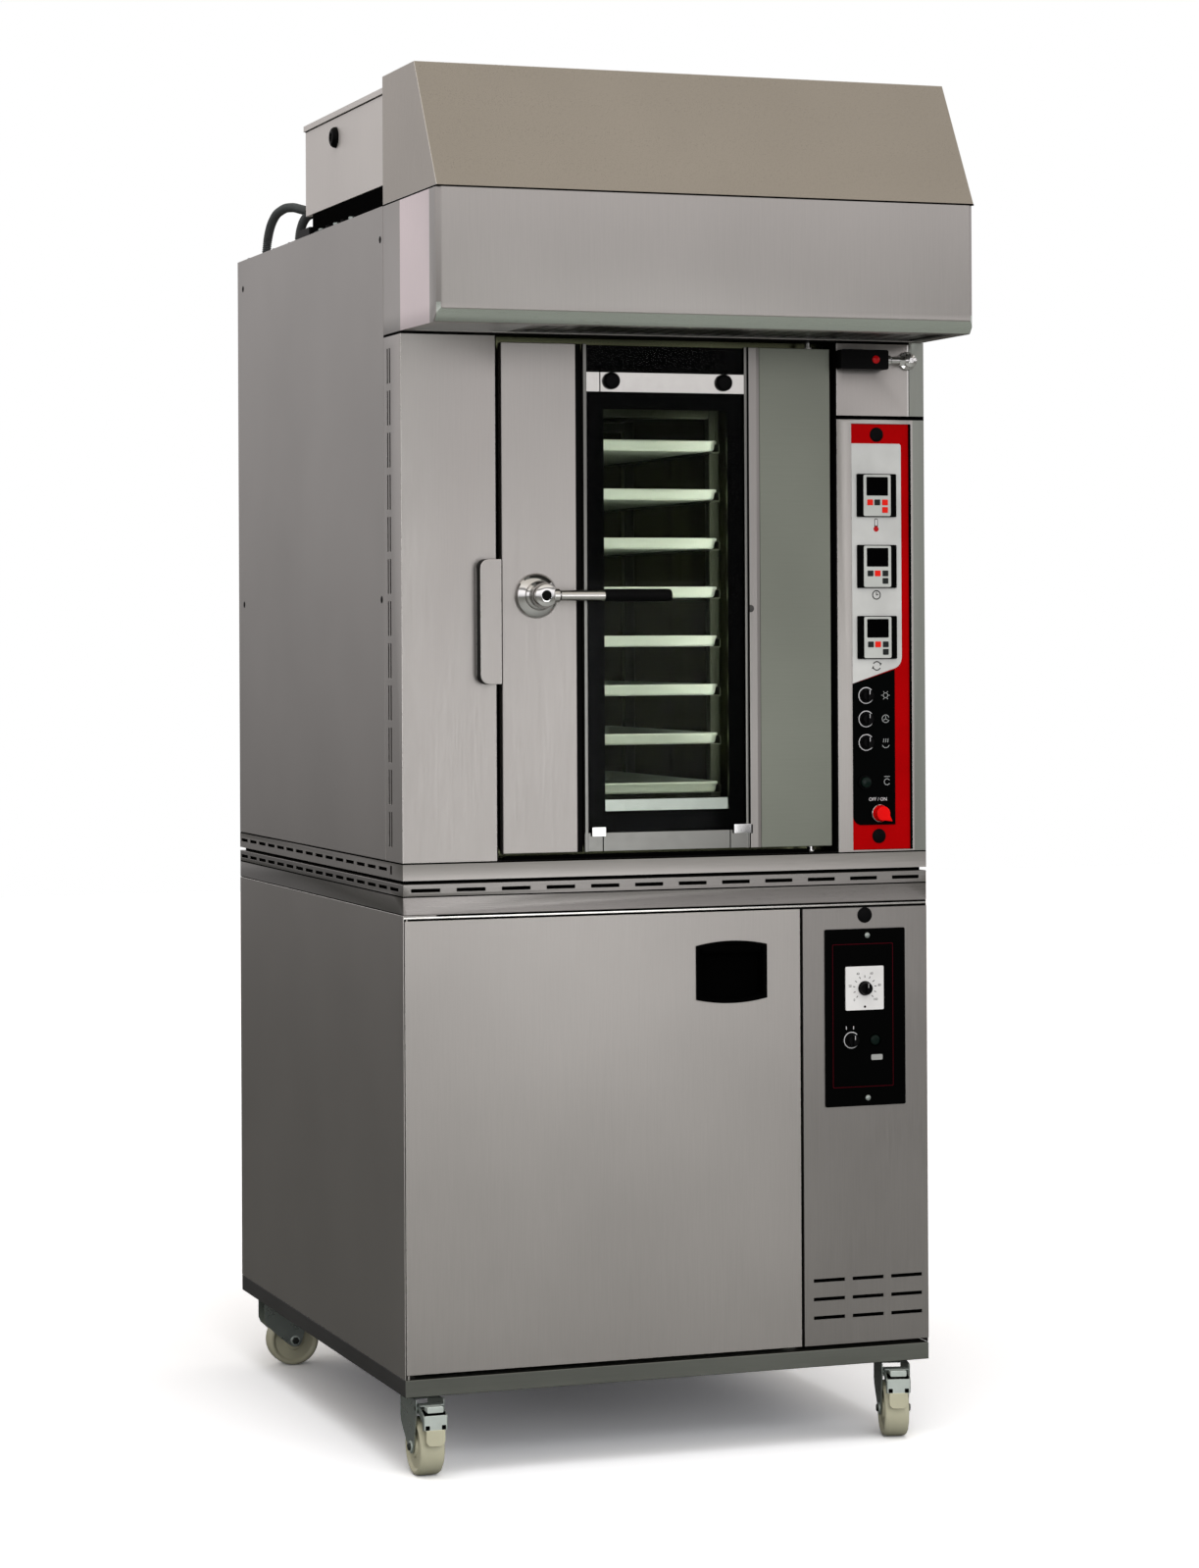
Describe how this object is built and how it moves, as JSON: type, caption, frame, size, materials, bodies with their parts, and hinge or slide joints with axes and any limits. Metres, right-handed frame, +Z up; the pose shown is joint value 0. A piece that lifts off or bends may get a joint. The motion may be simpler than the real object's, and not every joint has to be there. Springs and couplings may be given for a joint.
{
  "type": "rotating rack oven",
  "caption": "Stainless rotating rack oven on a proving cabinet, with a projecting steam hood, glazed door, red control column and braked casters.",
  "frame": {"origin": "on the floor, in the middle of the footprint bounded by the hood's front edge and the body's back", "axes": "+X to the oven's right seen from the front, +Y to its back, +Z up"},
  "size_m": [0.98, 1.355, 2.415],
  "materials": {
    "steel": "satin stainless sheet",
    "dark_steel": "dull dark sheet",
    "zinc": "bright zinc plating",
    "chrome": "polished",
    "aluminium": "plain sheet",
    "black_plastic": "matt",
    "black_paint": "matt",
    "red_plastic": "gloss",
    "red_fascia": "gloss",
    "pale_plate": "satin",
    "nylon": "satin cream",
    "dark_glass": "clear with a black printed border",
    "clear_glass": "clear",
    "mineral_wool": "loose mineral wool",
    "conduit_grey": "ribbed"
  },
  "bodies": {
    "cabinet": {"base_tray": "steel", "prover_left_side": "steel", "prover_right_side": "steel", "prover_back": "steel", "prover_partition": "steel", "prover_top": "steel", "prover_front_panel": "steel", "prover_control_plate": "black_plastic", "prover_tray_rack": "steel", "prover_humidifier": "steel", "oven_plinth": "dark_steel", "oven_left_jamb": "steel", "oven_column": "steel", "oven_left_side": "steel", "oven_right_side": "steel", "oven_back": "steel", "oven_roof": "steel", "chamber_left_wall": "steel", "chamber_right_wall": "steel", "chamber_floor": "steel", "chamber_ceiling": "steel", "chamber_back": "steel", "fan_baffle": "steel", "chamber_insulation": "mineral_wool", "fan_motor": "dark_steel", "heating_element": "dark_steel", "rack_gearmotor": "dark_steel", "control_fascia": "red_fascia", "controller_plate": "pale_plate", "hood_lower": "steel", "hood_upper": "steel", "extractor_base": "black_paint", "extractor_box": "steel", "conduit": "conduit_grey"},
    "swivel_front_left": {"caster_fork_front_left": "zinc"},
    "wheel_front_left": {"caster_wheel_front_left": "nylon"},
    "swivel_front_right": {"caster_fork_front_right": "zinc"},
    "wheel_front_right": {"caster_wheel_front_right": "nylon"},
    "swivel_rear_left": {"caster_fork_rear_left": "zinc"},
    "wheel_rear_left": {"caster_wheel_rear_left": "nylon"},
    "swivel_rear_right": {"caster_fork_rear_right": "zinc"},
    "wheel_rear_right": {"caster_wheel_rear_right": "nylon"},
    "pedal_front_left": {"brake_pedal_front_left": "zinc"},
    "pedal_front_right": {"brake_pedal_front_right": "zinc"},
    "prover_door": {"prover_door": "steel", "prover_door_pull": "black_plastic"},
    "oven_door": {"oven_door": "steel", "door_glass_outer": "dark_glass", "door_glass_inner": "clear_glass"},
    "door_lever": {"door_lever": "chrome"},
    "rack": {"rack_with_trays": "aluminium"},
    "fan": {"fan_impeller": "aluminium"},
    "damper": {"damper_lever": "black_plastic"},
    "oven_switch_1": {"oven_switch_1": "black_plastic"},
    "oven_switch_2": {"oven_switch_2": "black_plastic"},
    "oven_switch_3": {"oven_switch_3": "black_plastic"},
    "main_switch": {"main_switch": "red_plastic"},
    "thermostat_knob": {"thermostat_knob": "black_plastic"},
    "prover_switch": {"prover_switch": "black_plastic"},
    "start_button": {"start_button": "black_plastic"}
  },
  "joints": [
    {"name": "swivel_front_left_turn", "type": "hinge", "parent": "cabinet", "child": "swivel_front_left", "pos_m": [-0.445, -0.3905, 0.14], "axis": [0, 0, 1], "continuous": true},
    {"name": "wheel_front_left_roll", "type": "hinge", "parent": "swivel_front_left", "child": "wheel_front_left", "pos_m": [-0.445, -0.4285, 0.05], "axis": [1, 0, 0], "continuous": true},
    {"name": "swivel_front_right_turn", "type": "hinge", "parent": "cabinet", "child": "swivel_front_right", "pos_m": [0.445, -0.3905, 0.14], "axis": [0, 0, 1], "continuous": true},
    {"name": "wheel_front_right_roll", "type": "hinge", "parent": "swivel_front_right", "child": "wheel_front_right", "pos_m": [0.43516, -0.42721, 0.05], "axis": [0.9659, -0.2588, 0], "continuous": true},
    {"name": "swivel_rear_left_turn", "type": "hinge", "parent": "cabinet", "child": "swivel_rear_left", "pos_m": [-0.445, 0.6055, 0.14], "axis": [0, 0, 1], "continuous": true},
    {"name": "wheel_rear_left_roll", "type": "hinge", "parent": "swivel_rear_left", "child": "wheel_rear_left", "pos_m": [-0.407, 0.6055, 0.05], "axis": [0, 1, 0], "continuous": true},
    {"name": "swivel_rear_right_turn", "type": "hinge", "parent": "cabinet", "child": "swivel_rear_right", "pos_m": [0.445, 0.6055, 0.14], "axis": [0, 0, 1], "continuous": true},
    {"name": "wheel_rear_right_roll", "type": "hinge", "parent": "swivel_rear_right", "child": "wheel_rear_right", "pos_m": [0.407, 0.6055, 0.05], "axis": [0, 1, 0], "continuous": true},
    {"name": "pedal_front_left_press", "type": "hinge", "parent": "swivel_front_left", "child": "pedal_front_left", "pos_m": [-0.445, -0.4545, 0.12], "axis": [1, 0, 0], "range_deg": [0, 8]},
    {"name": "pedal_front_right_press", "type": "hinge", "parent": "swivel_front_right", "child": "pedal_front_right", "pos_m": [0.42844, -0.45232, 0.12], "axis": [0.9659, -0.2588, 0], "range_deg": [0, 8]},
    {"name": "prover_door_open", "type": "hinge", "parent": "cabinet", "child": "prover_door", "pos_m": [-0.483, -0.4595, 0.566], "axis": [0, 0, 1], "range_deg": [-110, 0]},
    {"name": "oven_door_open", "type": "hinge", "parent": "cabinet", "child": "oven_door", "pos_m": [0.275, -0.4375, 1.507], "axis": [0, 0, 1], "range_deg": [0, 95]},
    {"name": "door_lever_turn", "type": "hinge", "parent": "oven_door", "child": "door_lever", "pos_m": [-0.247, -0.4625, 1.511], "axis": [0, 1, 0], "range_deg": [0, 90]},
    {"name": "rack_spin", "type": "hinge", "parent": "cabinet", "child": "rack", "pos_m": [0, 0.1075, 1.5], "axis": [0, 0, 1], "continuous": true},
    {"name": "fan_spin", "type": "hinge", "parent": "cabinet", "child": "fan", "pos_m": [0, 0.53, 1.505], "axis": [0, 1, 0], "continuous": true},
    {"name": "damper_turn", "type": "hinge", "parent": "cabinet", "child": "damper", "pos_m": [0.456, -0.4625, 1.931], "axis": [0, 1, 0], "range_deg": [-75, 0]},
    {"name": "oven_switch_1_turn", "type": "hinge", "parent": "cabinet", "child": "oven_switch_1", "pos_m": [0.375, -0.4625, 1.332], "axis": [0, 1, 0], "range_deg": [0, 90]},
    {"name": "oven_switch_2_turn", "type": "hinge", "parent": "cabinet", "child": "oven_switch_2", "pos_m": [0.375, -0.4625, 1.29], "axis": [0, 1, 0], "range_deg": [0, 90]},
    {"name": "oven_switch_3_turn", "type": "hinge", "parent": "cabinet", "child": "oven_switch_3", "pos_m": [0.375, -0.4625, 1.248], "axis": [0, 1, 0], "range_deg": [0, 90]},
    {"name": "main_switch_turn", "type": "hinge", "parent": "cabinet", "child": "main_switch", "pos_m": [0.401, -0.4625, 1.121], "axis": [0, 1, 0], "range_deg": [0, 90]},
    {"name": "thermostat_turn", "type": "hinge", "parent": "cabinet", "child": "thermostat_knob", "pos_m": [0.366, -0.4625, 0.81], "axis": [0, 1, 0], "range_deg": [0, 270]},
    {"name": "prover_switch_turn", "type": "hinge", "parent": "cabinet", "child": "prover_switch", "pos_m": [0.341, -0.4625, 0.718], "axis": [0, 1, 0], "range_deg": [-60, 60]},
    {"name": "start_button_press", "type": "slide", "parent": "cabinet", "child": "start_button", "axis": [0, 1, 0], "range_m": [0, 0.0035], "stiffness_N_per_m": 300}
  ]
}
